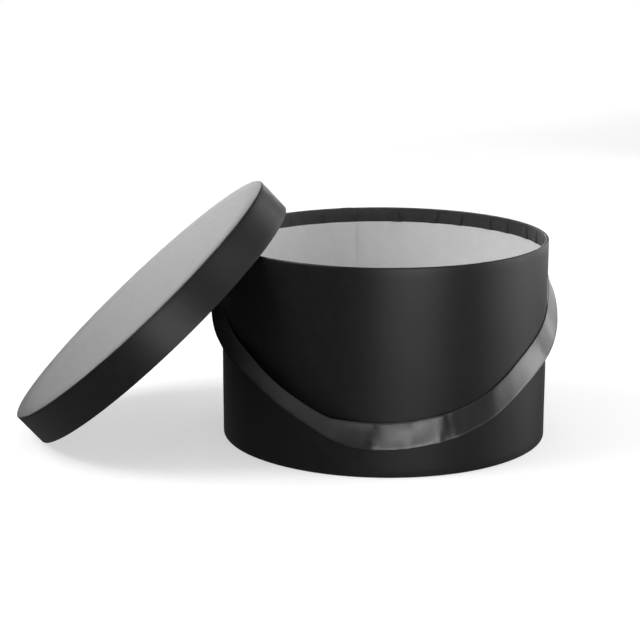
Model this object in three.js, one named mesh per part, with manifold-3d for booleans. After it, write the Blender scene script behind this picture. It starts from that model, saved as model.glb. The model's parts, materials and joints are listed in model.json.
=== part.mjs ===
// A round paper-covered hat box: an open board box with a satin ribbon handle, and its lift-off lid
// leaning on the rim. Millimetres, +Z up, origin at the centre of the base's underside.

import * as THREE from 'three';
import { mergeVertices } from 'three/addons/utils/BufferGeometryUtils.js';
import Module from 'manifold-3d';

// Driving dimensions of the box
const BOX_RADIUS = 150;
const BOX_HEIGHT = 185;
const BOARD = 2.2;
const PAPER = 0.25;
const GLUE = 0.1;
const BOX_TURN_IN = 14;
const BASE_TURN_UNDER = 16;
const BASE_PAPER_INSET = 3.5;
const SEGMENTS = 60;

// Driving dimensions of the ribbon handle
const RIBBON_WIDTH = 24;
const RIBBON_THICKNESS = 0.5;
const RIBBON_STAND_OFF = 0.4;
const RIBBON_STEPS = 56;
const SLIT_HEIGHT = 150;
const SLIT_WIDTH = 26;
const SLIT_GAP = 1.8;
const TAIL_LENGTH = 30;
const PATCH_MARGIN = 5;

// Driving dimensions of the lid, and how it leans
const LID_RADIUS = 155;
const LID_HEIGHT = 33;
const LID_TURN_IN = 15;
const LID_TURN_OVER = 4;
const LID_PAPER_INSET = 0.6;
const LEAN_TILT = 42.5;
const LEAN_AZIMUTH = 184.9;
const LEAN_GAP = 0.3;

// Radii and levels that follow from them
const boardOuter = BOX_RADIUS - PAPER - GLUE;
const boardInner = boardOuter - BOARD;
const liningOuter = boardInner - GLUE;
const liningInner = liningOuter - PAPER;
const turnUnderLevel = PAPER + GLUE;
const baseBoardLevel = turnUnderLevel + PAPER + GLUE;
const baseLiningLevel = baseBoardLevel + BOARD + GLUE;
const wallLiningLevel = baseLiningLevel + PAPER + GLUE;
const rimLevel = BOX_HEIGHT - PAPER - GLUE;

const lidBoardOuter = LID_RADIUS - PAPER - GLUE;
const lidBoardInner = lidBoardOuter - BOARD;
const lidLiningOuter = lidBoardInner - GLUE;
const lidLiningInner = lidLiningOuter - PAPER;
const lidTurnOverLevel = LID_HEIGHT - PAPER - GLUE;
const lidBoardTop = lidTurnOverLevel - PAPER - GLUE;
const lidBoardLow = lidBoardTop - BOARD;
const lidLiningLow = lidBoardLow - GLUE - PAPER;

const wasm = await Module();
wasm.setup();

const radians = THREE.MathUtils.degToRad;

// Materials: black wrapping paper, white lining paper, bare grey board and black satin
const FINISHES = {
  black_paper: { color: 0x17181a, roughness: 0.55, metalness: 0 },
  white_paper: { color: 0xdedede, roughness: 0.75, metalness: 0 },
  grey_board: { color: 0x8f8a80, roughness: 0.9, metalness: 0 },
  black_satin: { color: 0x0d0d0f, roughness: 0.35, metalness: 0 },
};

function makeMesh(name, geometry, finish) {
  const mesh = new THREE.Mesh(geometry, new THREE.MeshStandardMaterial(FINISHES[finish]));
  mesh.name = name;
  return mesh;
}

// A closed geometry with merged corners and its faces pointing out
function closedGeometry(geometry) {
  const plain = geometry.clone();
  plain.deleteAttribute('normal');
  plain.deleteAttribute('uv');
  const merged = mergeVertices(plain, 1e-4);
  const kept = [];
  const order = merged.index.array;
  for (let i = 0; i < order.length; i += 3) {
    const [a, b, c] = [order[i], order[i + 1], order[i + 2]];
    if (a !== b && b !== c && a !== c) kept.push(a, b, c);
  }
  merged.setIndex(signedVolume(merged.attributes.position, kept) < 0 ? kept.reverse() : kept);
  return merged;
}

function signedVolume(position, index) {
  const [a, b, c] = [new THREE.Vector3(), new THREE.Vector3(), new THREE.Vector3()];
  let volume = 0;
  for (let i = 0; i < index.length; i += 3) {
    a.fromBufferAttribute(position, index[i]);
    b.fromBufferAttribute(position, index[i + 1]);
    c.fromBufferAttribute(position, index[i + 2]);
    volume += a.dot(b.cross(c)) / 6;
  }
  return volume;
}

function toSolid(geometry) {
  const closed = closedGeometry(geometry);
  const vertProperties = new Float32Array(closed.attributes.position.array);
  const triVerts = new Uint32Array(closed.index.array);
  return new wasm.Manifold(new wasm.Mesh({ numProp: 3, vertProperties, triVerts }));
}

function toGeometry(solid) {
  const mesh = solid.getMesh();
  const geometry = new THREE.BufferGeometry();
  geometry.setAttribute('position', new THREE.BufferAttribute(new Float32Array(mesh.vertProperties), 3));
  geometry.setIndex(Array.from(mesh.triVerts));
  geometry.computeVertexNormals();
  return geometry;
}

// A closed outline of [radius, height] corners turned once round the Z axis
function turned(outline) {
  const closed = [...outline, outline[0]];
  const points = closed.map(([radius, height]) => new THREE.Vector2(radius, height));
  return new THREE.LatheGeometry(points, SEGMENTS).rotateX(Math.PI / 2);
}

function tube(outer, inner, low, high) {
  return closedGeometry(turned([[inner, low], [outer, low], [outer, high], [inner, high]]));
}

function disc(radius, low, high) {
  const plate = new THREE.CylinderGeometry(radius, radius, high - low, SEGMENTS);
  return closedGeometry(plate.rotateX(Math.PI / 2).translate(0, 0, (low + high) / 2));
}

// ---- Box ----

// The slot through the wall that lets the ribbon in, on the side given by +1 or -1
function slitCutter(side) {
  const depth = 4 * (BOX_RADIUS - liningInner);
  const block = new THREE.BoxGeometry(depth, SLIT_WIDTH, SLIT_GAP);
  return toSolid(block.translate(side * (BOX_RADIUS + liningInner) / 2, 0, SLIT_HEIGHT));
}

function withSlits(geometry) {
  return toGeometry(toSolid(geometry).subtract(slitCutter(1)).subtract(slitCutter(-1)));
}

function wallBoard() {
  return withSlits(tube(boardOuter, boardInner, baseBoardLevel, rimLevel));
}

// Wrapping paper: up the outside, over the rim and down the inside, and turned under the base
function wallWrap() {
  const low = turnUnderLevel;
  const turnInLow = BOX_HEIGHT - BOX_TURN_IN;
  const underInner = BOX_RADIUS - BASE_TURN_UNDER;
  return withSlits(turned([
    [underInner, low],
    [BOX_RADIUS, low],
    [BOX_RADIUS, BOX_HEIGHT],
    [liningInner, BOX_HEIGHT],
    [liningInner, turnInLow],
    [liningOuter, turnInLow],
    [liningOuter, BOX_HEIGHT - PAPER],
    [BOX_RADIUS - PAPER, BOX_HEIGHT - PAPER],
    [BOX_RADIUS - PAPER, low + PAPER],
    [underInner, low + PAPER],
  ]));
}

function wallLining() {
  const high = BOX_HEIGHT - BOX_TURN_IN - GLUE;
  return withSlits(tube(liningOuter, liningInner, wallLiningLevel, high));
}

function makeBox() {
  const box = new THREE.Group();
  box.add(makeMesh('wall_board', wallBoard(), 'grey_board'));
  box.add(makeMesh('wall_wrap', wallWrap(), 'black_paper'));
  box.add(makeMesh('wall_lining', wallLining(), 'white_paper'));
  const baseBoard = disc(liningOuter, baseBoardLevel, baseBoardLevel + BOARD);
  box.add(makeMesh('base_board', baseBoard, 'grey_board'));
  const baseLining = disc(liningOuter, baseLiningLevel, baseLiningLevel + PAPER);
  box.add(makeMesh('base_lining', baseLining, 'white_paper'));
  box.add(makeMesh('base_paper', disc(BOX_RADIUS - BASE_PAPER_INSET, 0, PAPER), 'black_paper'));
  return box;
}

// ---- Ribbon handle ----

// The free ribbon, right slit to left slit: [azimuth, height of its middle, lean of the upper edge,
// lean of the lower edge]. A lean is how far an edge hangs out from the wall. The ribbon drops from
// each slit in a loose bow and lies on the wall in a long swag round the front.
const RIBBON_ROUTE = [
  [0, 149, 0.8, 0.8],
  [-0.4, 145, 0.8, 3.2],
  [-1.9, 137, 0, 6.4],
  [-3.8, 125, 0, 8.8],
  [-8, 113, 0, 8.8],
  [-16, 103, 0, 7.6],
  [-25, 94, 0, 6.4],
  [-35, 82, 0, 4.0],
  [-45, 67, 0, 1.2],
  [-54, 55.3, 0, 0.3],
  [-64, 46.8, 0, 0.1],
  [-72.2, 42.8, 0.5, 0.5],
  [-83, 39.1, 0.2, 0.2],
  [-92, 38.1, 0.6, 0.4],
  [-96.5, 38.5, 1.1, 0.2],
  [-100, 39.4, 2.8, 0],
  [-104, 41.8, 6.2, 0],
  [-109, 46.3, 10.5, 0],
  [-119, 58.7, 10.5, 0],
  [-130, 72, 8.0, 0.2],
  [-143, 87, 3.6, 1.0],
  [-152, 95.5, 1.6, 3.2],
  [-160, 104, 0.6, 5.4],
  [-168, 114.5, 0, 8.0],
  [-174.5, 128, 0, 9.0],
  [-178, 137.5, 0, 6.4],
  [-179.6, 145, 0.8, 3.2],
  [-180, 149, 0.8, 0.8],
];
const LEAN_CURVE = 1.3;

function routePoint([azimuth, height]) {
  const radius = BOX_RADIUS + RIBBON_STAND_OFF;
  const angle = radians(azimuth);
  return new THREE.Vector3(radius * Math.cos(angle), radius * Math.sin(angle), height);
}

// The upper and lower lean part of the way along the route, counted in route points
function leansAt(place) {
  const first = Math.min(Math.floor(place), RIBBON_ROUTE.length - 2);
  const share = place - first;
  const [before, after] = [RIBBON_ROUTE[first], RIBBON_ROUTE[first + 1]];
  return [2, 3].map((column) => before[column] * (1 - share) + after[column] * share);
}

// Across the ribbon at a point of its middle line: square to the line and to the wall's outward normal
function acrossRibbon(point, tangent) {
  const outward = new THREE.Vector3(point.x, point.y, 0).normalize();
  const across = new THREE.Vector3().crossVectors(tangent, outward);
  return across.normalize();
}

// Six corners of the ribbon's thin section, all outside the wall's curve
function ribbonSection(point, tangent, [upper, lower]) {
  const across = acrossRibbon(point, tangent);
  const distance = Math.hypot(point.x, point.y);
  const halfWidth = Math.sqrt(RIBBON_WIDTH ** 2 - (upper - lower) ** 2) / 2;
  const sectionCorner = (side, layer) => {
    const corner = point.clone().addScaledVector(across, side * halfWidth);
    const lean = upper * ((1 + side) / 2) ** LEAN_CURVE + lower * ((1 - side) / 2) ** LEAN_CURVE;
    const radius = distance + lean + layer * RIBBON_THICKNESS;
    const scale = radius / Math.hypot(corner.x, corner.y);
    return new THREE.Vector3(corner.x * scale, corner.y * scale, corner.z);
  };
  const order = [[-1, 0], [0, 0], [1, 0], [1, 1], [0, 1], [-1, 1]];
  return order.map(([side, layer]) => sectionCorner(side, layer));
}

function ribbonGeometry() {
  const line = new THREE.CatmullRomCurve3(RIBBON_ROUTE.map(routePoint), false, 'centripetal');
  const sections = [];
  for (let step = 0; step <= RIBBON_STEPS; step += 1) {
    const along = line.getUtoTmapping(step / RIBBON_STEPS);
    const leans = leansAt(along * (RIBBON_ROUTE.length - 1));
    sections.push(ribbonSection(line.getPoint(along), line.getTangent(along), leans));
  }
  return skinned(sections);
}

// A closed skin over a run of sections that all have the same number of corners
function skinned(sections) {
  const count = sections[0].length;
  const positions = sections.flat().flatMap((corner) => corner.toArray());
  const index = [];
  for (let row = 0; row + 1 < sections.length; row += 1) {
    for (let i = 0; i < count; i += 1) {
      const next = (i + 1) % count;
      const [a, b] = [row * count + i, row * count + next];
      index.push(a, b, b + count, a, b + count, a + count);
    }
  }
  for (const [first, flip] of [[0, true], [(sections.length - 1) * count, false]]) {
    for (const [a, b, c] of [[0, 1, 4], [0, 4, 5], [1, 2, 3], [1, 3, 4]]) {
      const face = [first + a, first + b, first + c];
      index.push(...(flip ? face.reverse() : face));
    }
  }
  const geometry = new THREE.BufferGeometry();
  geometry.setAttribute('position', new THREE.Float32BufferAttribute(positions, 3));
  geometry.setIndex(index);
  return closedGeometry(geometry);
}

// A plate curved with the wall, inside it: half its width as an angle, and its low and high edges
function curvedPlate(outer, thickness, width, low, high) {
  const half = width / 2 / outer;
  const plan = new THREE.Shape();
  plan.absarc(0, 0, outer, -half, half, false);
  plan.absarc(0, 0, outer - thickness, half, -half, true);
  const plate = new THREE.ExtrudeGeometry(plan, { depth: high - low, bevelEnabled: false, curveSegments: 4 });
  return plate.translate(0, 0, low);
}

const tailOuter = liningInner - 0.4;
const tailHigh = SLIT_HEIGHT + RIBBON_THICKNESS / 2;

// The ribbon's end: through the slit, then down the inside of the wall
function ribbonTail(side) {
  const tailLow = tailHigh - TAIL_LENGTH;
  const hanging = toSolid(curvedPlate(tailOuter, RIBBON_THICKNESS, RIBBON_WIDTH, tailLow, tailHigh));
  const reach = BOX_RADIUS - tailOuter + RIBBON_THICKNESS;
  const strip = new THREE.BoxGeometry(reach, RIBBON_WIDTH, RIBBON_THICKNESS);
  const through = toSolid(strip.translate(tailOuter - RIBBON_THICKNESS + reach / 2, 0, SLIT_HEIGHT));
  const tail = toGeometry(hanging.add(through));
  return side > 0 ? tail : tail.rotateZ(Math.PI);
}

// The paper patch glued over the tail
function anchorPatch(side) {
  const outer = tailOuter - RIBBON_THICKNESS - GLUE * 4;
  const low = tailHigh - TAIL_LENGTH - PATCH_MARGIN;
  const high = SLIT_HEIGHT - SLIT_GAP;
  const patch = closedGeometry(curvedPlate(outer, PAPER, RIBBON_WIDTH + 2 * PATCH_MARGIN, low, high));
  return side > 0 ? patch : patch.rotateZ(Math.PI);
}

function makeHandle() {
  const handle = new THREE.Group();
  handle.add(makeMesh('handle_ribbon', ribbonGeometry(), 'black_satin'));
  for (const [label, side] of [['right', 1], ['left', -1]]) {
    handle.add(makeMesh(`ribbon_tail_${label}`, ribbonTail(side), 'black_satin'));
    handle.add(makeMesh(`anchor_patch_${label}`, anchorPatch(side), 'white_paper'));
  }
  return handle;
}

// ---- Lid, built closed side up with its open rim at height 0 ----

// Wrapping strip: outside of the skirt, turned in at the open rim and turned over onto the top
function lidSkirtWrap() {
  const top = lidTurnOverLevel;
  const overInner = LID_RADIUS - LID_TURN_OVER;
  return closedGeometry(turned([
    [lidLiningInner, 0],
    [LID_RADIUS, 0],
    [LID_RADIUS, top],
    [overInner, top],
    [overInner, top - PAPER],
    [LID_RADIUS - PAPER, top - PAPER],
    [LID_RADIUS - PAPER, PAPER],
    [lidLiningOuter, PAPER],
    [lidLiningOuter, LID_TURN_IN],
    [lidLiningInner, LID_TURN_IN],
  ]));
}

function makeLid() {
  const lid = new THREE.Group();
  const skirtBoard = tube(lidBoardOuter, lidBoardInner, PAPER + GLUE, lidBoardTop);
  const skirtLining = tube(lidLiningOuter, lidLiningInner, LID_TURN_IN + GLUE, lidLiningLow - GLUE);
  const topBoard = disc(lidLiningOuter, lidBoardLow, lidBoardTop);
  const topLining = disc(lidLiningOuter, lidLiningLow, lidLiningLow + PAPER);
  const topPaper = disc(LID_RADIUS - LID_PAPER_INSET, LID_HEIGHT - PAPER, LID_HEIGHT);
  lid.add(makeMesh('lid_skirt_board', skirtBoard, 'grey_board'));
  lid.add(makeMesh('lid_top_board', topBoard, 'grey_board'));
  lid.add(makeMesh('lid_skirt_wrap', lidSkirtWrap(), 'black_paper'));
  lid.add(makeMesh('lid_top_paper', topPaper, 'black_paper'));
  lid.add(makeMesh('lid_skirt_lining', skirtLining, 'black_paper'));
  lid.add(makeMesh('lid_top_lining', topLining, 'black_paper'));
  return lid;
}

// The lid stands on the low point of its open rim, and the inner edge of that rim leans on two points
// of the box's rim, so part of the box's rim is inside the lid. Returned: the distance from the box's
// axis to the centre of the lid's open rim.
function leanDistance() {
  const tilt = radians(LEAN_TILT);
  const centreHeight = LID_RADIUS * Math.sin(tilt);
  const upSlope = (BOX_HEIGHT - centreHeight) / Math.sin(tilt);
  const contactRadius = lidLiningInner - LEAN_GAP;
  const halfChord = Math.sqrt(contactRadius ** 2 - upSlope ** 2);
  const contact = Math.sqrt(BOX_RADIUS ** 2 - halfChord ** 2);
  return contact + upSlope * Math.cos(tilt) + LEAN_GAP / Math.sin(tilt);
}

function leanLid(lid) {
  const tilt = radians(LEAN_TILT);
  lid.rotation.y = tilt;
  lid.position.set(leanDistance(), 0, LID_RADIUS * Math.sin(tilt));
  const turn = new THREE.Group();
  turn.add(lid);
  turn.rotation.z = radians(LEAN_AZIMUTH);
  return turn;
}

const hatBox = new THREE.Group();
hatBox.add(makeBox());
hatBox.add(makeHandle());
hatBox.add(leanLid(makeLid()));

export default hatBox;
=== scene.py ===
# %% [markdown]
# # A round hat box with a ribbon handle
# A hat box is a drum of stiff board covered in paper. This one stands open: black paper outside,
# white paper inside, a black satin ribbon for a handle, and its lid leaning on the rim.
# The frame comes first. It holds the hard sizes, and the pieces take theirs from it. What it has no
# word on, such as the pleats and the hang of the ribbon, is chosen here.

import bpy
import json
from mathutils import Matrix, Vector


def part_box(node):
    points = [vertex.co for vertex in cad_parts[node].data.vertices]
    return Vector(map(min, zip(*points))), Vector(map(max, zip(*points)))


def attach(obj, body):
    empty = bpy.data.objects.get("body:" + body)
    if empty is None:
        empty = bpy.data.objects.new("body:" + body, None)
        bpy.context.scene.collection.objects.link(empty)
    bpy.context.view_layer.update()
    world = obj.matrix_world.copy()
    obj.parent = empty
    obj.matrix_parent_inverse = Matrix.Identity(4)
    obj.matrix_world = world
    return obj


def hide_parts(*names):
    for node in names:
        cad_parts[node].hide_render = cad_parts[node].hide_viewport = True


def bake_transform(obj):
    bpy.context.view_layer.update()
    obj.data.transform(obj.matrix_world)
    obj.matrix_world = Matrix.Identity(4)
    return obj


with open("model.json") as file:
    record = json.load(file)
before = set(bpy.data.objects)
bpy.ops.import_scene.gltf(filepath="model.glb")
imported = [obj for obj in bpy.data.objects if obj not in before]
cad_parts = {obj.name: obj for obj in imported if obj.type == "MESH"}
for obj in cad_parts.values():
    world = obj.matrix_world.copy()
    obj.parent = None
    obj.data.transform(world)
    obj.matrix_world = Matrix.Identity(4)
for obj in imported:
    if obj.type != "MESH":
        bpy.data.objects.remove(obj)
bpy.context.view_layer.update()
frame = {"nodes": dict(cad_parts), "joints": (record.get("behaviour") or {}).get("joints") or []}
nodes = frame["nodes"]
print("nodes:", sorted(nodes))

# %% [markdown]
# Blender counts in metres, and paper is a quarter of a millimetre thick, so one short name for
# a millimetre keeps the sizes below readable. numpy turns whole rings of points at once, which
# is far quicker than moving them one by one.

# %% Tools and the unit
import json
import math

import bmesh
import bpy
import numpy as np
from mathutils import Matrix, Vector

MM = 0.001
PAPER = 0.25 * MM
TURN = 2 * math.pi

# %% [markdown]
# The box's outer radius and height are the size of its paper wrap. The hinge of the handle is a
# line through the two slits in the wall, so its height is the height of the slits.

# %% Read the box from the frame
box_low, box_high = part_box("wall_wrap")
BOX_RADIUS = box_high.x
BOX_HEIGHT = box_high.z
lining_low, lining_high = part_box("wall_lining")
LINING_RADIUS = lining_high.x - PAPER
BAND_LOW = lining_high.z
joints = {joint["name"]: joint for joint in frame["joints"]}
SLIT_HEIGHT = joints["handle_swing"]["pos_m"][2]
print(f"box {2 * BOX_RADIUS / MM:.1f} mm across and {BOX_HEIGHT / MM:.1f} mm high")
print(f"slits at {SLIT_HEIGHT / MM:.1f} mm")

# %% [markdown]
# The lid leans, so its box in the frame says little about its real size. Its own axis is the way
# it lifts off, which the joint gives. Measured along that axis and away from it, the points of
# the skirt's paper give the lid's depth and radius. A matrix then carries anything made flat on
# the bench, with the lid's open rim at height 0, to the place where the lid leans.

# %% Read the lid from the frame
def node_points(*names):
    """Every corner of the named frame nodes, as rows of x, y and z."""
    return np.array([corner.co for name in names for corner in nodes[name].data.vertices])


lid_up = Vector(joints["lid_lift"]["axis"]).normalized()
away = Vector((lid_up.x, lid_up.y, 0)).normalized()
level_share = Vector((lid_up.x, lid_up.y)).length
lid_down_slope = (away * lid_up.z - Vector((0, 0, 1)) * level_share).normalized()
lid_side = lid_up.cross(lid_down_slope)
skirt_points = node_points("lid_skirt_wrap")
lid_heights = node_points("lid_skirt_wrap", "lid_top_paper") @ np.array(lid_up)
skirt_middle = Vector(skirt_points.mean(axis=0))
lid_foot = skirt_middle + lid_up * (float(lid_heights.min()) - skirt_middle.dot(lid_up))
from_foot = skirt_points - np.array(lid_foot)
along_axis = np.outer(from_foot @ np.array(lid_up), np.array(lid_up))
LID_RADIUS = float(np.linalg.norm(from_foot - along_axis, axis=1).max())
LID_HEIGHT = float(np.ptp(lid_heights))
turn_lid = Matrix((lid_down_slope, lid_side, lid_up)).transposed().to_4x4()
LID_PLACE = Matrix.Translation(lid_foot) @ turn_lid
print(f"lid {2 * LID_RADIUS / MM:.1f} mm across and {LID_HEIGHT / MM:.1f} mm deep")
print("foot of the lid at", tuple(lid_foot))

# %% [markdown]
# ## The camera
# The box is seen from a little above its rim, with a long lens from a step back, so the ellipse
# of the rim stays open and the sides hardly taper. The lens has no tilt or shift.

# %% Camera
CAMERA_DISTANCE = 1.600
CAMERA_HEIGHT = 0.4875
CAMERA_DOWN = math.radians(13.47)
CAMERA_LEFT = math.radians(2.13)
CAMERA_LENS = 99.44
SENSOR_WIDTH = 36
NEAREST_SEEN = 0.05
FARTHEST_SEEN = 60

lens = bpy.data.cameras.new("camera")
lens.lens = CAMERA_LENS
lens.sensor_width = SENSOR_WIDTH
lens.clip_start = NEAREST_SEEN
lens.clip_end = FARTHEST_SEEN
camera = bpy.data.objects.new("camera", lens)
camera.location = (0, -CAMERA_DISTANCE, CAMERA_HEIGHT)
camera.rotation_euler = (math.pi / 2 - CAMERA_DOWN, 0, CAMERA_LEFT)
bpy.context.scene.collection.objects.link(camera)
bpy.context.scene.camera = camera
print("camera at", tuple(camera.location))

# %% [markdown]
# ## Finishes
# Every finish is built from noise and waves in nodes, so it has no picture files. A few helpers
# keep the node code short: one makes a material with its shader, and one adds a linked node.

# %% Material helpers
def new_finish(name):
    """A material with a Principled shader, and the tree that it sits in."""
    material = bpy.data.materials.new(name)
    material.use_nodes = True
    tree = material.node_tree
    return material, tree, tree.nodes["Principled BSDF"]


def add_node(tree, kind, inputs=None, **settings):
    """A node with its settings, and its inputs set to values or linked to other nodes' outputs."""
    node = tree.nodes.new(kind)
    for key, value in settings.items():
        setattr(node, key, value)
    for key, value in (inputs or {}).items():
        if isinstance(value, bpy.types.NodeSocket):
            tree.links.new(value, node.inputs[key])
        else:
            node.inputs[key].default_value = value
    return node


def grey(value):
    return (value, value, value, 1)


DARK_END, LIGHT_END = 0.25, 0.75


def blended(tree, factor, dark, light):
    """A colour that goes from dark to light with a factor."""
    ramp = add_node(tree, "ShaderNodeValToRGB", {"Fac": factor})
    ramp.color_ramp.elements[0].color = dark
    ramp.color_ramp.elements[1].color = light
    ramp.color_ramp.elements[0].position = DARK_END
    ramp.color_ramp.elements[1].position = LIGHT_END
    return ramp.outputs["Color"]


def ranged(tree, factor, low, high):
    """A number that goes from low to high with a factor."""
    node = add_node(tree, "ShaderNodeMapRange", {"Value": factor, "To Min": low, "To Max": high})
    return node.outputs["Result"]


def noise(tree, scale, detail):
    """Noise in the piece's own space: scale is in marks per metre."""
    place = add_node(tree, "ShaderNodeTexCoord")
    inputs = {"Vector": place.outputs["Object"], "Scale": scale, "Detail": detail}
    return add_node(tree, "ShaderNodeTexNoise", inputs).outputs["Fac"]


def bumped(tree, height, distance, strength, below=None):
    """A bump from a height, laid over another bump if one is given."""
    inputs = {"Height": height, "Distance": distance, "Strength": strength}
    if below is not None:
        inputs["Normal"] = below
    return add_node(tree, "ShaderNodeBump", inputs).outputs["Normal"]

# %% [markdown]
# The black paper is an uncoated, dyed wrapping paper with a slight press polish. Real paper is
# never one flat black: its fibres clump into cloudy patches a few millimetres wide, and the
# polish varies with them. Two noises give the clouds and the fibre, and both drive a bump of a
# few hundredths of a millimetre, which breaks up the light along the edges. Where the paper is
# turned in over the rim, its colour is painted a lighter grey. This is a painted sheen for the
# light that the black band inside catches, and it gives way to painted shade in the band's creases.
# The sheet carries a value for this painted light, and the colour follows it.

# %% Black wrapping paper
PAINTED_SHEEN_ATTRIBUTE = "painted_band_sheen"


def make_black_paper():
    material, tree, shader = new_finish("black_wrapping_paper")
    clouds = noise(tree, scale=160, detail=4)
    fibre = noise(tree, scale=2600, detail=2)
    plain = blended(tree, clouds, dark=grey(0.0035), light=grey(0.0055))
    # The lighter grey is a painted sheen for the light that the band inside the rim catches.
    painted_sheen_grey = blended(tree, clouds, dark=grey(0.028), light=grey(0.040))
    painted_band_sheen = add_node(tree, "ShaderNodeAttribute", attribute_name=PAINTED_SHEEN_ATTRIBUTE)
    colour = add_node(tree, "ShaderNodeMix", data_type="RGBA")
    sources = {"Factor_Float": painted_band_sheen.outputs["Fac"], "A_Color": plain, "B_Color": painted_sheen_grey}
    for socket in colour.inputs:
        if socket.identifier in sources:
            tree.links.new(sources[socket.identifier], socket)
    mixed = next(item for item in colour.outputs if item.identifier == "Result_Color")
    tree.links.new(mixed, shader.inputs["Base Color"])
    tree.links.new(ranged(tree, clouds, low=0.40, high=0.48), shader.inputs["Roughness"])
    soft = bumped(tree, clouds, distance=0.05 * MM, strength=0.5)
    rough = bumped(tree, fibre, distance=0.02 * MM, strength=0.5, below=soft)
    tree.links.new(rough, shader.inputs["Normal"])
    shader.inputs["Specular IOR Level"].default_value = 0.35
    return material


black_paper = make_black_paper()
print("made", black_paper.name)

# %% [markdown]
# The lining is a plain white offset paper: matt, faintly cloudy, with a fine tooth.

# %% White lining paper
def make_white_paper():
    material, tree, shader = new_finish("white_lining_paper")
    clouds = noise(tree, scale=90, detail=4)
    tooth = noise(tree, scale=3200, detail=2)
    colour = blended(tree, clouds, dark=grey(0.70), light=grey(0.75))
    tree.links.new(colour, shader.inputs["Base Color"])
    tree.links.new(ranged(tree, tooth, low=0.72, high=0.88), shader.inputs["Roughness"])
    tree.links.new(bumped(tree, tooth, distance=0.03 * MM, strength=0.5), shader.inputs["Normal"])
    shader.inputs["Specular IOR Level"].default_value = 0.25
    return material


white_paper = make_white_paper()
print("made", white_paper.name)

# %% [markdown]
# The board under the paper is unbleached grey board pressed from waste paper. It hardly shows,
# but a cut edge or a slit gives a glimpse of it: grey, with darker and paler flecks.

# %% Grey board
def make_grey_board():
    material, tree, shader = new_finish("grey_board")
    flecks = noise(tree, scale=1400, detail=5)
    colour = blended(tree, flecks, dark=(0.20, 0.185, 0.165, 1), light=(0.36, 0.34, 0.31, 1))
    tree.links.new(colour, shader.inputs["Base Color"])
    tree.links.new(bumped(tree, flecks, distance=0.08 * MM, strength=0.6), shader.inputs["Normal"])
    shader.inputs["Roughness"].default_value = 0.92
    return material


grey_board = make_grey_board()
print("made", grey_board.name)

# %% [markdown]
# Satin is woven so that long threads float side by side on one face. They run along the ribbon,
# so light glides off them in a bar across it: the shine is stretched across the threads. That is
# what the shader's anisotropy does, with the thread direction taken from the ribbon's own map.
# A fine wave across the width is the threads, and a slow noise gives the soft uneven gloss.

# %% Black satin
RIBBON_MAP = "along_and_across"
THREADS_PER_METRE = 5200


def make_satin():
    material, tree, shader = new_finish("black_satin")
    chart = add_node(tree, "ShaderNodeUVMap", uv_map=RIBBON_MAP)
    parts = add_node(tree, "ShaderNodeSeparateXYZ", {"Vector": chart.outputs["UV"]})
    turns = add_node(tree, "ShaderNodeMath", {0: parts.outputs["Y"], 1: THREADS_PER_METRE * TURN},
                     operation="MULTIPLY")
    threads = add_node(tree, "ShaderNodeMath", {0: turns.outputs[0]}, operation="SINE")
    gloss = noise(tree, scale=120, detail=2)
    colour = blended(tree, gloss, dark=grey(0.006), light=grey(0.010))
    tree.links.new(colour, shader.inputs["Base Color"])
    tree.links.new(ranged(tree, gloss, low=0.30, high=0.36), shader.inputs["Roughness"])
    ripple = bumped(tree, gloss, distance=0.25 * MM, strength=0.35)
    weave = bumped(tree, threads.outputs[0], distance=0.012 * MM, strength=0.4, below=ripple)
    tree.links.new(weave, shader.inputs["Normal"])
    along = add_node(tree, "ShaderNodeTangent", direction_type="UV_MAP", uv_map=RIBBON_MAP)
    tree.links.new(along.outputs["Tangent"], shader.inputs["Tangent"])
    shader.inputs["Anisotropic"].default_value = 0.8
    shader.inputs["Anisotropic Rotation"].default_value = 0.25
    shader.inputs["Specular IOR Level"].default_value = 1.0
    shader.inputs["IOR"].default_value = 1.58
    return material


satin = make_satin()
print("made", satin.name)

# %% [markdown]
# ## Turned paper
# Almost every piece of this box is paper that goes round an axis. So one tool makes them all: it
# takes an outline, the edge of the sheet as a saw cut through the box would show it, and turns it
# round. Sharp corners don't exist in folded paper, so a helper rounds the outline's corners with
# small arcs, and another adds points to long straight stretches.

# %% Outlines
def rounded(outline, radius, steps=5):
    """The outline with each inner corner turned into an arc of that radius."""
    points = [Vector(point) for point in outline]
    smooth = [points[0]]
    for before, corner, after in zip(points, points[1:], points[2:]):
        back, on = (before - corner).normalized(), (after - corner).normalized()
        half = back.angle(on) / 2
        middle = corner + (back + on).normalized() * radius / math.sin(half)
        start = (corner + back * radius / math.tan(half) - middle).normalized()
        end = (corner + on * radius / math.tan(half) - middle).normalized()
        for step in range(steps + 1):
            smooth.append(middle + start.slerp(end, step / steps) * radius)
    smooth.append(points[-1])
    return smooth


def refined(outline, longest):
    """The outline with points added so that no stretch is longer than that."""
    fine = [outline[0]]
    for start, end in zip(outline, outline[1:]):
        count = max(1, math.ceil((end - start).length / longest))
        fine += [start.lerp(end, step / count) for step in range(1, count + 1)]
    return fine

# %% [markdown]
# The turning itself is a grid: one row for each point of the outline, one column for each angle.
# A small lift, off the surface and worked out for every row and angle, is where the hand-made
# character goes in: lapped edges, pleats and a slight waviness. The sheet gets its thickness from
# a Solidify modifier that adds the hidden back. A window leaves out faces, for a slit.

# %% Turned sheets
def grid_faces(rows, columns, closed, skip=None):
    """Four-sided faces of a grid of points, numbered row by row."""
    last = columns if closed else columns - 1
    faces = []
    for row in range(rows - 1):
        for column in range(last):
            if skip is not None and skip[row, column]:
                continue
            across = (column + 1) % columns
            faces.append((
                row * columns + column,
                row * columns + across,
                (row + 1) * columns + across,
                (row + 1) * columns + column,
            ))
    return faces


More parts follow.
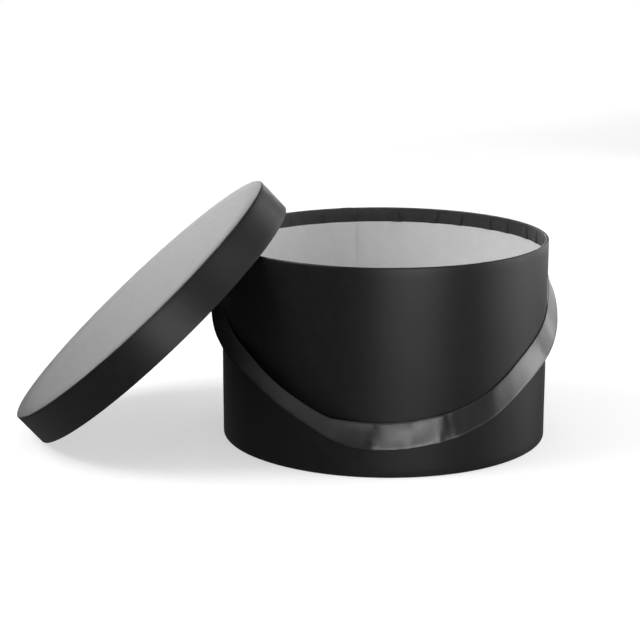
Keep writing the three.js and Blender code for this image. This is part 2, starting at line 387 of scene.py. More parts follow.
def mesh_piece(name, points, faces, finish, sharp_angle=32):
    """A smooth-shaded mesh object from points and faces, with its finish."""
    mesh = bpy.data.meshes.new(name)
    mesh.from_pydata([tuple(point) for point in points], [], faces)
    mesh.polygons.foreach_set("use_smooth", [True] * len(mesh.polygons))
    mesh.set_sharp_from_angle(angle=math.radians(sharp_angle))
    mesh.materials.append(finish)
    piece = bpy.data.objects.new(name, mesh)
    bpy.context.scene.collection.objects.link(piece)
    return piece


EDGE_ROW = 0.3 * MM


def edged(outline):
    """The outline with a point close to each end: the shading turns only at the cut edge."""
    first, last = outline[0], outline[-1]
    after = first + (outline[1] - first).normalized() * EDGE_ROW
    before = last + (outline[-2] - last).normalized() * EDGE_ROW
    return [first, after, *outline[1:-1], before, last]


def turned_sheet(name, outline, angles, finish, lift, window=None):
    """Paper turned round Z. Its good side is on the right of the outline's run, seen from +Y."""
    outline = edged(outline)
    rows, columns = len(outline), len(angles)
    radius = np.array([point[0] for point in outline])[:, None]
    height = np.array([point[1] for point in outline])[:, None]
    run_out, run_up = np.gradient(radius[:, 0]), np.gradient(height[:, 0])
    length = np.hypot(run_out, run_up)
    out, up = (run_up / length)[:, None], (-run_out / length)[:, None]
    angle = np.array(angles)[None, :]
    raised = lift(angle, radius, height)
    around, level = radius + out * raised, height + up * raised
    x, y = around * np.cos(angle), around * np.sin(angle)
    points = np.stack([x, y, np.broadcast_to(level, x.shape)], axis=-1).reshape(-1, 3)
    skip = window(angle, radius, height) if window else None
    sheet = mesh_piece(name, points, grid_faces(rows, columns, True, skip), finish)
    back = sheet.modifiers.new("paper_thickness", "SOLIDIFY")
    back.thickness = PAPER
    back.offset = -1
    return sheet

# %% [markdown]
# A disc is the same idea without a hole: rings of points that shrink to the centre, with a small
# rounded edge. It's made as a closed body, top and underside together, so it needs no modifier.

# %% Turned discs
DISC_COLUMNS = 240
DISC_EDGE = 0.1 * MM
INNER_RING = 0.15
RING_STEP = 1 / 6


def disc(name, radius, low, high, finish):
    """A round closed plate with a slightly rounded edge."""
    columns = DISC_COLUMNS
    edge, inner = min(DISC_EDGE, (high - low) * 0.45), INNER_RING * radius
    outline = rounded([(inner, low), (radius, low), (radius, high), (inner, high)], edge, steps=3)
    angles = np.linspace(0, TURN, columns, endpoint=False)
    rings = np.array([[point[0], point[1]] for point in refined(outline, radius * RING_STEP)])
    x, y = rings[:, :1] * np.cos(angles), rings[:, :1] * np.sin(angles)
    z = np.broadcast_to(rings[:, 1:], x.shape)
    points = np.stack([x, y, z], axis=-1).reshape(-1, 3).tolist()
    faces = grid_faces(len(rings), columns, True)
    for first, level, flip in ((0, low, True), ((len(rings) - 1) * columns, high, False)):
        centre = len(points)
        points.append([0, 0, level])
        for column in range(columns):
            face = (first + column, first + (column + 1) % columns, centre)
            faces.append(face[::-1] if flip else face)
    return mesh_piece(name, points, faces, finish)

# %% [markdown]
# ## How paper laps and pleats
# A strip of paper that goes right round has to lap over its own start. The top layer ends in a
# crisp edge, and further on the paper sinks gently where the layer below ends. A strip folded
# over a round rim has too much length for the smaller circle inside, so it tucks into pleats:
# each is a crisp slanting fold on one side that fades out on the other. Both are written here
# as lifts of a fraction of a millimetre.

# %% Laps and pleats
LAP_WIDTH = 0.085
SINKING_SHARE = 0.35
PLEAT_AT_FOLD = 0.25
PLEAT_SWELL = 1.6
CRISP_STEP = 0.0006


def past(angle, start):
    """How far each angle is past a start, from 0 to a full turn."""
    return np.mod(angle - start, TURN)


def lapped(angle, start, width=LAP_WIDTH, rise=PAPER):
    """The lift of the upper layer of a lap that starts with a crisp edge."""
    sink = SINKING_SHARE * width
    beyond = past(angle, start)
    return rise * np.clip((width - beyond) / sink, 0, 1)


def pleated(angle, depth, pleats):
    """The lift of a row of pleats. Depth is 0 at the fold over the rim, 1 at the paper's edge."""
    lift = np.zeros(np.broadcast(angle, depth).shape)
    for start, slant, width, rise in pleats:
        beyond = past(angle, start + slant * depth)
        spread = width * (PLEAT_AT_FOLD + (1 - PLEAT_AT_FOLD) * depth)
        crest = np.clip(1 - beyond / spread, 0, 1)
        lift = np.maximum(lift, rise * crest * np.clip(PLEAT_SWELL * depth, 0, 1))
    return lift


def crisp_angles(count, edges):
    """Even angles round a circle, with pairs close together where there is a crisp edge."""
    even = np.linspace(0, TURN, count, endpoint=False)
    pairs = [edge + side for edge in edges for side in (-CRISP_STEP, 0)]
    return np.unique(np.round(np.mod(np.concatenate([even, pairs]), TURN), 6))

# %% [markdown]
# ## The box's black wrap
# One strip of black paper covers the wall. It is turned under the base, runs up the outside,
# goes over the rim and 14 mm down the inside, where its pleats show as a black band. The lap of
# the strip is at the back. The two slits for the ribbon are punched through it. The outline below
# starts under the base and ends inside, so the good side is outwards all the way.

# %% Pleats of the rim
CLEAR_OF_OTHERS = math.radians(7)


def spread_pleats(fixed, count, seed, rise):
    """Pleats listed, and more where none are given: (start, slant, width, rise)."""
    random = np.random.default_rng(seed)
    pleats = [(math.radians(start), math.radians(slant), math.radians(width), up * MM)
              for start, slant, width, up in fixed]
    for step in range(count):
        start = TURN * (step + random.uniform(-0.3, 0.3)) / count
        gaps = [abs(math.remainder(start - other[0], TURN)) for other in pleats]
        slant, width = random.uniform(-0.025, 0.025), random.uniform(0.05, 0.11)
        if min(gaps, default=TURN) > CLEAR_OF_OTHERS:
            pleats.append((start, slant, width, rise * random.uniform(0.6, 1.1)))
    return pleats


RIM_PLEATS = spread_pleats(
    [(86, -2.5, 5, 0.7), (58.5, 0.6, 4, 0.8), (46, -1.0, 5, 0.8),
     (37, -1.4, 5, 0.7), (24.5, -1.6, 6, 0.8), (15.5, -1.2, 5, 0.7)],
    count=22, seed=4, rise=0.5 * MM)
print(len(RIM_PLEATS), "pleats inside the rim")

# %% The wrap
WRAP_LAP = math.radians(103)
RIM_ROUND = 1.1 * MM
BASE_ROUND = 1.0 * MM
TURN_UNDER = 16 * MM
SLIT_HALF_WIDTH = 13 * MM
SLIT_HALF_GAP = 0.9 * MM
WAVE_RISE = 0.05 * MM
UNDER_PLEAT_SHARE = 0.3


def wrap_lift(angle, radius, height):
    """Lap at the back, pleats inside the rim, and the faint unevenness of a hand-rolled drum."""
    inside = (radius < BOX_RADIUS - 0.6 * RIM_ROUND) & (height > BOX_HEIGHT / 2)
    under = (radius < BOX_RADIUS - BASE_ROUND) & (height < BOX_HEIGHT / 2)
    band_depth = np.where(inside, np.clip((BOX_HEIGHT - height) / (BOX_HEIGHT - BAND_LOW), 0, 1), 0)
    under_depth = np.where(under, np.clip((BOX_RADIUS - radius) / TURN_UNDER, 0, 1), 0)
    waves = WAVE_RISE * (1 + np.sin(5 * angle + 90 * height) * np.sin(3 * angle - 1))
    lift = lapped(angle, WRAP_LAP) + np.where(inside | under, 0, waves)
    under_pleats = UNDER_PLEAT_SHARE * pleated(angle, under_depth, RIM_PLEATS)
    return lift + pleated(angle, band_depth, RIM_PLEATS) + under_pleats


def in_slit(angle, radius, height):
    """True for the faces inside either slit. A face runs from its row and column to the next."""
    beside = np.abs(np.sin(angle)) * BOX_RADIUS < SLIT_HALF_WIDTH - 0.05 * MM
    beside = beside & np.roll(beside, -1, axis=1)
    middle = (height + np.roll(height, -1, axis=0)) / 2
    level = np.abs(middle - SLIT_HEIGHT) < SLIT_HALF_GAP / 2
    return beside & level & (radius > 0.9 * BOX_RADIUS)


def slit_edges():
    half = math.asin(SLIT_HALF_WIDTH / BOX_RADIUS)
    return [-half, half, math.pi - half, math.pi + half]


def with_slit_rows(outline):
    """Adds rows of points at and just beyond the slit's two edges to each upright stretch."""
    rows = []
    reaches = (-SLIT_HALF_GAP - EDGE_ROW, -SLIT_HALF_GAP, SLIT_HALF_GAP, SLIT_HALF_GAP + EDGE_ROW)
    for start, end in zip(outline, outline[1:]):
        rows.append(start)
        levels = [SLIT_HEIGHT + reach for reach in reaches]
        if end.y < start.y:
            levels.reverse()
        for level in levels:
            if min(start.y, end.y) < level < max(start.y, end.y):
                rows.append(start.lerp(end, (level - start.y) / (end.y - start.y)))
    return rows + [outline[-1]]


WRAP_COLUMNS = 1200
LONGEST_STEP = 7 * MM
wrap_outline = rounded([
    (BOX_RADIUS - TURN_UNDER, box_low.z),
    (BOX_RADIUS, box_low.z),
    (BOX_RADIUS, BOX_HEIGHT),
    (LINING_RADIUS, BOX_HEIGHT),
    (LINING_RADIUS, BAND_LOW),
], RIM_ROUND)
wrap_angles = crisp_angles(WRAP_COLUMNS, [WRAP_LAP, *slit_edges()])
wall_wrap = turned_sheet("wall_wrap_paper", with_slit_rows(refined(wrap_outline, LONGEST_STEP)),
                         wrap_angles, black_paper, lift=wrap_lift, window=in_slit)


# Painted light on the wrap: a painted sheen on the band inside the rim, which gives way to painted
# shade along each pleat's crease.
PAINTED_CREASE_SHADE_WIDTH = 0.009
BAND_STARTS = BOX_RADIUS - 1.5 * MM
DARKEST_PAINTED_CREASE_SHADE = 0.1


def painted_sheen_and_crease_shade(corner):
    """The painted sheen at a point of the wrap: 1 on the band inside, less in its painted crease
    shade.
    """
    if math.hypot(corner.x, corner.y) > BAND_STARTS or corner.z < BOX_HEIGHT / 2:
        return 0.0
    angle = math.atan2(corner.y, corner.x)
    depth = (BOX_HEIGHT - corner.z) / (BOX_HEIGHT - BAND_LOW)
    from_crease = min(abs(math.remainder(angle - start - slant * depth, TURN))
                      for start, slant, _, _ in RIM_PLEATS)
    near_fold = 1.2 - 1.6 * depth
    return min(1.0, max(from_crease / PAINTED_CREASE_SHADE_WIDTH, near_fold, DARKEST_PAINTED_CREASE_SHADE))


# The painted sheen and crease shade are stored on the wrap's points for its colour.
painted_light_values = wall_wrap.data.attributes.new(PAINTED_SHEEN_ATTRIBUTE, "FLOAT", "POINT")
painted_light_values.data.foreach_set("value", [painted_sheen_and_crease_shade(corner.co) for corner in wall_wrap.data.vertices])
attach(wall_wrap, "box")
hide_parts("wall_wrap")
print("wrap:", len(wall_wrap.data.polygons), "faces")

# %% [markdown]
# ## The white lining
# The lining is a second strip, glued inside after the black paper has dried. It stops just under
# the black band. Its lap is the fine upright line that shows on the far wall. Its run goes down,
# so that the good side of the sheet faces the middle of the box.

# %% Wall lining
LINING_LAP = math.radians(101.2)
LINING_LAP_WIDTH = 0.11
LINING_LAP_RISE = 0.7 * MM
COCKLE_RISE = 0.06 * MM
LINING_COLUMNS = 480


def lining_lift(angle, radius, height):
    """Lap, and the way paper cockles a little where paste has dried under it."""
    cockle = COCKLE_RISE * (1 + np.sin(7 * angle + 40 * height) * np.sin(4 * angle + 2))
    return lapped(angle, LINING_LAP, LINING_LAP_WIDTH, LINING_LAP_RISE) + cockle


lining_outline = refined([
    Vector((LINING_RADIUS, BAND_LOW)),
    Vector((LINING_RADIUS, lining_low.z)),
], LONGEST_STEP)
wall_lining = turned_sheet("wall_lining_paper", with_slit_rows(lining_outline),
                           crisp_angles(LINING_COLUMNS, [LINING_LAP, *slit_edges()]), white_paper,
                           lift=lining_lift, window=in_slit)
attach(wall_lining, "box")
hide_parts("wall_lining")
print("lining:", len(wall_lining.data.polygons), "faces")

# %% [markdown]
# ## The base
# A white disc covers the base inside, and a black one covers it underneath, over the ends of the
# wrap. Both are cut a little small, as a maker does, so that their edges never ride up.

# %% Base papers
def flat_paper(name, node, finish):
    """A paper disc that stands for a frame node and keeps that node's size and level."""
    low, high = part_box(node)
    paper = disc(name, high.x, low.z, high.z, finish)
    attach(paper, "box")
    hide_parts(node)
    return paper


base_lining = flat_paper("base_lining_paper", "base_lining", white_paper)
base_paper = flat_paper("base_under_paper", "base_paper", black_paper)
print("base papers:", base_lining.name, base_paper.name)

# %% [markdown]
# ## The boards
# The boards are hidden between the papers, and their plain frame shapes are right as they are.
# They only need their finish.

# %% Board finish
for name in ("wall_board", "base_board", "lid_skirt_board", "lid_top_board"):
    nodes[name].data.materials.clear()
    nodes[name].data.materials.append(grey_board)

# %% [markdown]
# ## The lid
# The lid is made flat on the bench, open rim at height 0, and then carried to where it leans. Its
# skirt is one strip of black paper: turned in at the open rim, up the outside, and turned over
# onto the top by a few millimetres. A black disc covers the top and stops just short of the edge,
# which leaves the fine dark line that runs round it. The inside is out of sight, so its lining is
# a choice. It is black, a dark sheet that paints the shade inside the lid. A white one would show
# as a bright reflection in the black wall that the lid leans on.

# %% Lid skirt paper
LID_LAP = math.radians(200)
LID_ROUND = 0.8 * MM
LID_TURN_IN = 15 * MM
LID_TURN_OVER = 4 * MM
LID_BOARD = 2.9 * MM
GLUE = 0.1 * MM
LID_TURN_LEVEL = LID_HEIGHT - PAPER - GLUE
LID_WAVE_RISE = 0.04 * MM
LID_COLUMNS = 600
LID_LONGEST_STEP = 5 * MM
LID_PLEATS = spread_pleats([], count=20, seed=9, rise=0.3 * MM)


def lid_skirt_lift(angle, radius, height):
    """Lap on the skirt, pleats on the turned-in edge."""
    inside = (radius < LID_RADIUS - 1.2 * LID_ROUND) & (height < LID_HEIGHT - LID_LONGEST_STEP)
    depth = np.where(inside, np.clip(height / LID_TURN_IN, 0, 1), 0)
    waves = LID_WAVE_RISE * (1 + np.sin(6 * angle + 60 * height))
    return lapped(angle, LID_LAP) + np.where(inside, 0, waves) + pleated(angle, depth, LID_PLEATS)


def place_lid_piece(piece, node):
    """Carries a bench-made piece to the leaning lid, and has it stand for a frame node."""
    piece.data.transform(LID_PLACE)
    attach(piece, "lid")
    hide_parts(node)


lid_skirt_outline = rounded([
    (LID_RADIUS - LID_BOARD, LID_TURN_IN),
    (LID_RADIUS - LID_BOARD, 0),
    (LID_RADIUS, 0),
    (LID_RADIUS, LID_TURN_LEVEL),
    (LID_RADIUS - LID_TURN_OVER, LID_TURN_LEVEL),
], LID_ROUND)
lid_skirt = turned_sheet("lid_skirt_paper", refined(lid_skirt_outline, LID_LONGEST_STEP),
                         crisp_angles(LID_COLUMNS, [LID_LAP]), black_paper, lift=lid_skirt_lift)
place_lid_piece(lid_skirt, "lid_skirt_wrap")
print("lid skirt:", len(lid_skirt.data.polygons), "faces")

# %% Lid top paper
TOP_PAPER_INSET = 0.9 * MM
lid_top = disc("lid_top_cover", LID_RADIUS - TOP_PAPER_INSET,
               LID_HEIGHT - PAPER, LID_HEIGHT, black_paper)
place_lid_piece(lid_top, "lid_top_paper")

# %% Lid linings
# Both linings are black paper: painted shade for the inside of the lid.
LID_INSIDE_TOP = LID_HEIGHT - 3.25 * MM
LID_LINING_COLUMNS = 360


def lid_lining_lift(angle, radius, height):
    """The lap of the strip, the same at every height."""
    return lapped(angle, LID_LAP) + 0 * height


lid_lining_outline = refined([
    Vector((LID_RADIUS - LID_BOARD, LID_INSIDE_TOP - PAPER)),
    Vector((LID_RADIUS - LID_BOARD, LID_TURN_IN)),
], LID_LONGEST_STEP)
lid_skirt_lining = turned_sheet("lid_skirt_lining_paper", lid_lining_outline,
                                crisp_angles(LID_LINING_COLUMNS, [LID_LAP]), black_paper,
                                lift=lid_lining_lift)
place_lid_piece(lid_skirt_lining, "lid_skirt_lining")
lid_top_lining = disc("lid_top_lining_paper", LID_RADIUS - LID_BOARD,
                      LID_INSIDE_TOP - PAPER, LID_INSIDE_TOP, black_paper)
place_lid_piece(lid_top_lining, "lid_top_lining")
print("lid papers placed at", tuple(lid_foot))

# %% [markdown]
# ## The ribbon handle
# The handle is one satin ribbon, 24 mm wide. It comes out of the slit on the right, drops in a
# loose bow, lies on the wall in a long swag round the front, and goes into the left slit. A
# ribbon can bend along its length but not sideways in its own plane. Where it is made to, one of
# its edges goes slack and leans away from the wall: the lower edge beside each slit, and the
# upper edge on the left of the front. The route is a short list. Each row is the angle round the
# box in degrees, then in millimetres the height of the ribbon's middle and how far the upper and
# the lower edge lean out.

# %% Route of the ribbon
RIBBON_WIDTH = 24 * MM
RIBBON_THICKNESS = 0.3 * MM
STAND_OFF = 0.18 * MM
RIBBON_ROUTE = [
    (0, 149.6, 0, 0), (0, 147.2, 0, 0.8), (-0.1, 143.5, 0, 3.4), (-1.3, 136, 0, 6.6),
    (-3.8, 125, 0, 8.8),
    (-8, 113, 0, 8.8), (-16, 103, 0, 7.6), (-25, 94, 0, 6.4), (-35, 82, 0, 4.0),
    (-45, 67, 0, 1.2), (-54, 55.3, 0, 0.3), (-64, 46.8, 0, 0.1), (-68, 44.7, 0.4, 0.2),
    (-70, 43.8, 1.4, 0.5), (-72.2, 42.8, 0.7, 1.4), (-74.5, 41.9, 0.4, 0.5),
    (-77.5, 40.7, 0.1, 0.2),
    (-80, 39.9, 0.7, 0.1), (-83, 39.1, 0.1, 0.8), (-87, 38.4, 0.1, 0.2), (-91, 38.1, 1.1, 0.3),
    (-93.5, 38.1, 0.8, 0.9), (-96.5, 38.5, 1.1, 0.2), (-100, 39.4, 2.8, 0),
    (-104, 41.8, 6.2, 0), (-109, 46.3, 10.5, 0), (-119, 58.7, 10.5, 0), (-130, 72, 8.0, 0.2),
    (-143, 87, 3.6, 1.0), (-152, 95.5, 1.6, 3.2), (-160, 104, 0.6, 5.4), (-168, 114.5, 0, 8.0),
    (-174.5, 128, 0, 9.0), (-178.7, 136, 0, 6.6),
    (-179.9, 143.5, 0, 3.4), (-180, 147.2, 0, 0.8), (-180, 149.6, 0, 0),
]


SPAN_SAMPLES = 24


def smooth_line(points, steps):
    """A smooth line through rows of numbers (a Catmull-Rom spline), even by its x, y and z."""
    points = np.array(points, float)
    padded = np.vstack([2 * points[0] - points[1], points, 2 * points[-1] - points[-2]])
    fine = []
    for first in range(len(points) - 1):
        a, b, c, d = padded[first:first + 4]
        for t in np.linspace(0, 1, SPAN_SAMPLES, endpoint=False):
            fine.append(0.5 * (2 * b + (c - a) * t + (2 * a - 5 * b + 4 * c - d) * t ** 2
                               + (3 * b - a - 3 * c + d) * t ** 3))
    fine = np.array(fine + [points[-1]])
    steps_taken = np.linalg.norm(np.diff(fine[:, :3], axis=0), axis=1)
    travelled = np.concatenate([[0], np.cumsum(steps_taken)])
    even = np.linspace(0, travelled[-1], steps)
    columns = [np.interp(even, travelled, fine[:, column]) for column in range(points.shape[1])]
    return np.stack(columns, axis=1), travelled[-1]


def route_row(azimuth, height, upper_lean, lower_lean):
    """A point of the ribbon's middle line just off the wall, with the two leans, in metres."""
    radius, angle = BOX_RADIUS + STAND_OFF, math.radians(azimuth)
    place = (radius * math.cos(angle), radius * math.sin(angle), height * MM)
    return (*place, upper_lean * MM, lower_lean * MM)


RIBBON_STEPS = 420
ribbon_rows, ribbon_length = smooth_line([route_row(*row) for row in RIBBON_ROUTE], RIBBON_STEPS)
ribbon_line, ribbon_leans = ribbon_rows[:, :3], np.clip(ribbon_rows[:, 3:], 0, None)
print(f"free ribbon: {ribbon_length / MM:.0f} mm long")

# %% [markdown]
# The ribbon's surface follows that line. At each step the width is laid out square to the line
# and along the wall, and then each edge leans out by its own amount, in a soft curve. The width
# along the wall shrinks as the ribbon tilts, so the cloth keeps its real width. Slow ripples a
# fraction of a millimetre high make it cloth and not sheet metal. The woven selvedges at both
# edges are a little thicker, and catch the light as two fine lines, so the points across the
# ribbon crowd towards its edges.

# %% The ribbon's surface
RIBBON_ACROSS = 21
SELVEDGE_RISE = 0.4 * MM
SELVEDGE_WIDTH = 0.6 * MM
SELVEDGE_FADE_ROWS = 8
LEAN_CURVE = 1.3


def ribbon_grid(line, leans, ripple):
    """Points of the ribbon's inner and outer faces, laid out along and across it."""
    run = np.gradient(line, axis=0)
    run /= np.linalg.norm(run, axis=1)[:, None]
    outward = line * [1, 1, 0]
    distance = np.linalg.norm(outward, axis=1)[:, None]
    outward = outward / distance
    across = np.cross(run, outward)
    across /= np.linalg.norm(across, axis=1)[:, None]
    side = np.sin(np.linspace(-math.pi / 2, math.pi / 2, RIBBON_ACROSS))[None, :]
    row = np.arange(len(line))
    ends = np.clip(np.minimum(row, row[::-1]) / SELVEDGE_FADE_ROWS, 0, 1)[:, None]
    from_edge = (1 - np.abs(side)) * RIBBON_WIDTH / 2
    selvedge = SELVEDGE_RISE * ends * np.exp(-(from_edge / SELVEDGE_WIDTH) ** 2)
    upper, lower = leans[:, :1], leans[:, 1:]
    half = np.sqrt(RIBBON_WIDTH ** 2 - (upper - lower) ** 2) / 2
    flat = line[:, None, :] + across[:, None, :] * (side * half)[..., None]
    reach = np.linalg.norm(flat[..., :2], axis=2)
    along = np.linspace(0, 1, len(line))[:, None]
    lean = upper * ((1 + side) / 2) ** LEAN_CURVE + lower * ((1 - side) / 2) ** LEAN_CURVE
    inner = distance + lean + ripple(along, side)
    faces = []
    for layer in (inner, inner + RIBBON_THICKNESS + selvedge):
        scale = (layer / reach)[..., None]
        faces.append(np.concatenate([flat[..., :2] * scale, flat[..., 2:]], axis=2))
    return faces


def closed_strip(name, inner, outer, finish):
    """A closed body between two grids of points, with a map along and across its width."""
    rows, columns = inner.shape[:2]
    points = np.concatenate([outer.reshape(-1, 3), inner.reshape(-1, 3)])
    total = rows * columns
    faces = grid_faces(rows, columns, False)
    faces += [tuple(total + corner for corner in face[::-1]) for face in faces]
    rim = [row * columns for row in range(rows)]
    rim += [(rows - 1) * columns + column for column in range(1, columns)]
    rim += [row * columns + columns - 1 for row in range(rows - 2, -1, -1)]
    rim += [column for column in range(columns - 2, 0, -1)]
    for here, there in zip(rim, rim[1:] + rim[:1]):
        faces.append((here, there, total + there, total + here))
    strip = mesh_piece(name, points, faces, finish, sharp_angle=60)
    solid = bmesh.new()
    solid.from_mesh(strip.data)
    bmesh.ops.recalc_face_normals(solid, faces=solid.faces)
    solid.to_mesh(strip.data)
    solid.free()
    step = np.linalg.norm(np.diff(outer[:, columns // 2], axis=0), axis=1)
    along = np.concatenate([[0], np.cumsum(step)])
    chart = strip.data.uv_layers.new(name=RIBBON_MAP)
    width = np.linspace(0, RIBBON_WIDTH, columns)
    where = np.array([[along[index % total // columns], width[index % columns]]
                      for index in range(2 * total)])
    corners = np.array([loop.vertex_index for loop in strip.data.loops])
    chart.data.foreach_set("uv", where[corners].astype(np.float32).ravel())
    return strip


RIPPLE_RISE = 0.26 * MM
RIPPLE_LEAST = 0.35
FRONT_SHARE = 0.16


def ribbon_ripple(along, side):
    """Ripples that run across the ribbon, strongest in front."""
    loose = RIPPLE_LEAST + (1 - RIPPLE_LEAST) * np.exp(-((along - 0.5) / FRONT_SHARE) ** 2)
    pattern = np.sin(95 * along + 2.2 * side) * np.sin(37 * along + 0.6 - side)
    return RIPPLE_RISE * loose * (1 + pattern)


ribbon_inner, ribbon_outer = ribbon_grid(ribbon_line, ribbon_leans, ribbon_ripple)
ribbon = closed_strip("handle_ribbon_satin", ribbon_inner, ribbon_outer, satin)
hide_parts("handle_ribbon")
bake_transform(ribbon)
print("ribbon:", len(ribbon.data.polygons), "faces")

# %% [markdown]
# ## The ribbon's tails
# Each end of the ribbon goes through its slit and is pasted down the inside of the wall, with a
# white paper patch over it. A tail starts just outside the wall, under the first turn of the
# handle, so the ribbon looks unbroken. It is made on the right side and turned half round for
# the left one.

# %% Tails and patches
TAIL_INSET = 0.45 * MM
TAIL_FOLD = 1.1 * MM
TAIL_LONGEST_STEP = 3 * MM
PATCH_RISE = 0.45 * MM
PATCH_EASE = 4 * MM
PATCH_ROWS, PATCH_COLUMNS = 24, 29
tail_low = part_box("ribbon_tail_right")[0]
patch_low, patch_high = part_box("anchor_patch_right")


def tail_line():
    """From outside the slit, through the wall, and down the inside, with a soft fold."""
    inside = LINING_RADIUS - TAIL_INSET
    outside = BOX_RADIUS + STAND_OFF
    bend = [(outside, SLIT_HEIGHT), (inside, SLIT_HEIGHT), (inside, tail_low.z)]
    points = refined(rounded(bend, TAIL_FOLD, steps=8), TAIL_LONGEST_STEP)
    return np.array([[point[0], 0, point[1]] for point in points])


def tail_grid(line):
    """The tail's two faces: each row keeps its distance from the wall along its whole width."""
    run = np.gradient(line, axis=0)
    run /= np.linalg.norm(run, axis=1)[:, None]
    good_side = np.stack([-run[:, 2], run[:, 1], run[:, 0]], axis=1)
    side = np.linspace(-1, 1, RIBBON_ACROSS) * RIBBON_WIDTH / 2
    faces = []
    for layer in (0, RIBBON_THICKNESS):
        middle = line + good_side * layer
        curve = side[None, :] / middle[:, :1]
        x, y = middle[:, :1] * np.cos(curve), middle[:, :1] * np.sin(curve)
        z = np.broadcast_to(middle[:, 2:], x.shape)
        faces.append(np.stack([x, y, z], axis=-1))
    return faces


def patch_grid():
    """A curved paper patch, domed a little where the tail lies under it."""
    heights = np.linspace(patch_high.z, patch_low.z, PATCH_ROWS)[:, None]
    half = (patch_high.y - patch_low.y) / 2
    side = np.linspace(-half, half, PATCH_COLUMNS)[None, :]
    from_sides = np.clip((half - np.abs(side)) / PATCH_EASE, 0, 1)
    from_foot = np.clip((heights - patch_low.z) / PATCH_EASE, 0, 1)
    radius = patch_high.x - PATCH_RISE * from_sides * from_foot
    faces = []
    for layer in (0, -PAPER):
        around = radius + layer
        x, y = around * np.cos(side / around), around * np.sin(side / around)
        faces.append(np.stack([x, y, np.broadcast_to(heights, x.shape)], axis=-1))
    return faces


for label, turn in (("right", 0), ("left", math.pi)):
    tail = closed_strip(f"ribbon_end_{label}", *tail_grid(tail_line()), satin)
    patch = closed_strip(f"end_patch_{label}", *patch_grid(), white_paper)
    for piece, node, slot in ((tail, f"ribbon_tail_{label}", "black_satin"),
                              (patch, f"anchor_patch_{label}", "white_paper")):
        piece.matrix_world = Matrix.Rotation(turn, 4, "Z")
        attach(piece, "box")
        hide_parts(node)
    tail_length = float(np.linalg.norm(np.diff(tail_line(), axis=0), axis=1).sum())
    print(f"{label} tail: {tail_length / MM:.0f} mm long")

# %% [markdown]
# ## Floor and light
# A plain pale floor and soft studio light. Black paper is only readable by what it reflects, so
# each lamp is there for one reflection. Four boxes stand on the right, low and high, and run a
# pale edge down the wall and the lid's skirt. A long strip low beside the camera gives the gloss of
# the satin. Two large boxes overhead and high on the left light the white lining. A long lit
# background behind the box is what the lid's top catches at a shallow angle. The floor glows a
# little, to look white, and is hidden from gloss, so that it doesn't grey the black wall.

# %% Floor
FLOOR_SIZE = 5.8
FLOOR_GLOW = 0.55


def make_floor():
    material, tree, shader = new_finish("pale_floor")
    mottle = noise(tree, scale=3, detail=2)
    pale = blended(tree, mottle, dark=grey(0.54), light=grey(0.56))
    tree.links.new(pale, shader.inputs["Base Color"])
    shader.inputs["Roughness"].default_value = 1
    shader.inputs["Specular IOR Level"].default_value = 0
    shader.inputs["Emission Color"].default_value = (1, 1, 1, 1)
    shader.inputs["Emission Strength"].default_value = FLOOR_GLOW
    return material


quarters = ((-1, -1), (1, -1), (1, 1), (-1, 1))
corners = [(x * FLOOR_SIZE / 2, y * FLOOR_SIZE / 2, 0) for x, y in quarters]
floor = mesh_piece("floor", corners, [(0, 1, 2, 3)], make_floor())
floor.visible_glossy = False

# %% Light
def soft_box(name, place, target, size, power):
    """A rectangular soft box that faces a point and doesn't show in the picture."""
    lamp = bpy.data.lights.new(name, "AREA")
    lamp.shape = "RECTANGLE"
    lamp.size, lamp.size_y = size
    lamp.energy = power
    light = bpy.data.objects.new(name, lamp)
    light.location = place
    light.rotation_euler = (Vector(target) - Vector(place)).to_track_quat("-Z", "Y").to_euler()
    light.visible_camera = False
    bpy.context.scene.collection.objects.link(light)
    return light


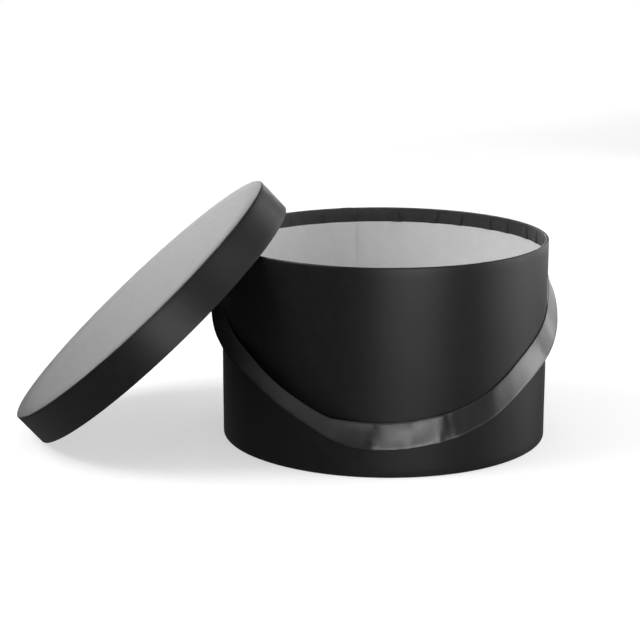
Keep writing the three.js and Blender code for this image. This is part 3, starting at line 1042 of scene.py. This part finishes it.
soft_box("right_soft_box", (1.7, 0.05, 0.3), (0.1, 0, 0.09), (1.2, 1.0), 12)
soft_box("right_edge_box", (1.3, 0.55, 0.25), (0.1, 0, 0.09), (0.7, 1.4), 2.2)
soft_box("back_right_box", (1.1, 1.35, 0.45), (0, 0, 0.13), (1.0, 1.2), 7.5)
soft_box("high_right_box", (1.6, -0.7, 1.2), (0, 0, 0.15), (1.0, 0.8), 4.5)
soft_box("front_strip", (0.68, -2.0, 0.10), (0, 0, 0.05), (1.4, 0.3), 20)
soft_box("overhead_box", (0.2, -0.2, 2.0), (0, 0, 0), (1.6, 1.6), 8)
soft_box("high_left_box", (-1.6, -0.4, 1.6), (-0.2, 0, 0.1), (1.2, 1.2), 33)
soft_box("lit_background", (-1.0, 3.0, 0.42), (-0.2, 0, 0.1), (3.0, 0.3), 26.5)

# %% [markdown]
# The world fills in the rest. In the picture it's the white backdrop. To the gloss of the black
# paper it's nearly dark at eye level, as the far, unlit walls of a studio are, or the box would
# look grey. Only what faces down, like the lid's skirt, finds the pale table in its gloss.

# %% World
SEEN_WHITE = 1.0
FILL_LIGHT = 0.33
DARK_STUDIO = 0.068
PALE_TABLE = 0.26
FACING_DOWN = -0.75
FACING_OUT = -0.35

world = bpy.data.worlds.new("studio")
world.use_nodes = True
bpy.context.scene.world = world
world_tree = world.node_tree
background = world_tree.nodes["Background"]
background.inputs["Color"].default_value = grey(1)
path = add_node(world_tree, "ShaderNodeLightPath")
way = add_node(world_tree, "ShaderNodeTexCoord")
way_up = add_node(world_tree, "ShaderNodeSeparateXYZ", {"Vector": way.outputs["Generated"]})
glossy_level = add_node(world_tree, "ShaderNodeMapRange", {
    "Value": way_up.outputs["Z"], "From Min": FACING_DOWN, "From Max": FACING_OUT,
    "To Min": PALE_TABLE, "To Max": DARK_STUDIO,
})
seen = add_node(world_tree, "ShaderNodeMapRange", {
    "Value": path.outputs["Is Camera Ray"], "To Min": FILL_LIGHT, "To Max": SEEN_WHITE,
})
strength = add_node(world_tree, "ShaderNodeMix", {
    "Factor": path.outputs["Is Glossy Ray"],
    "A": seen.outputs["Result"], "B": glossy_level.outputs["Result"],
}, data_type="FLOAT")
world_tree.links.new(strength.outputs["Result"], background.inputs["Strength"])
bpy.context.scene.view_settings.view_transform = "Standard"
print("world strength when seen:", SEEN_WHITE)
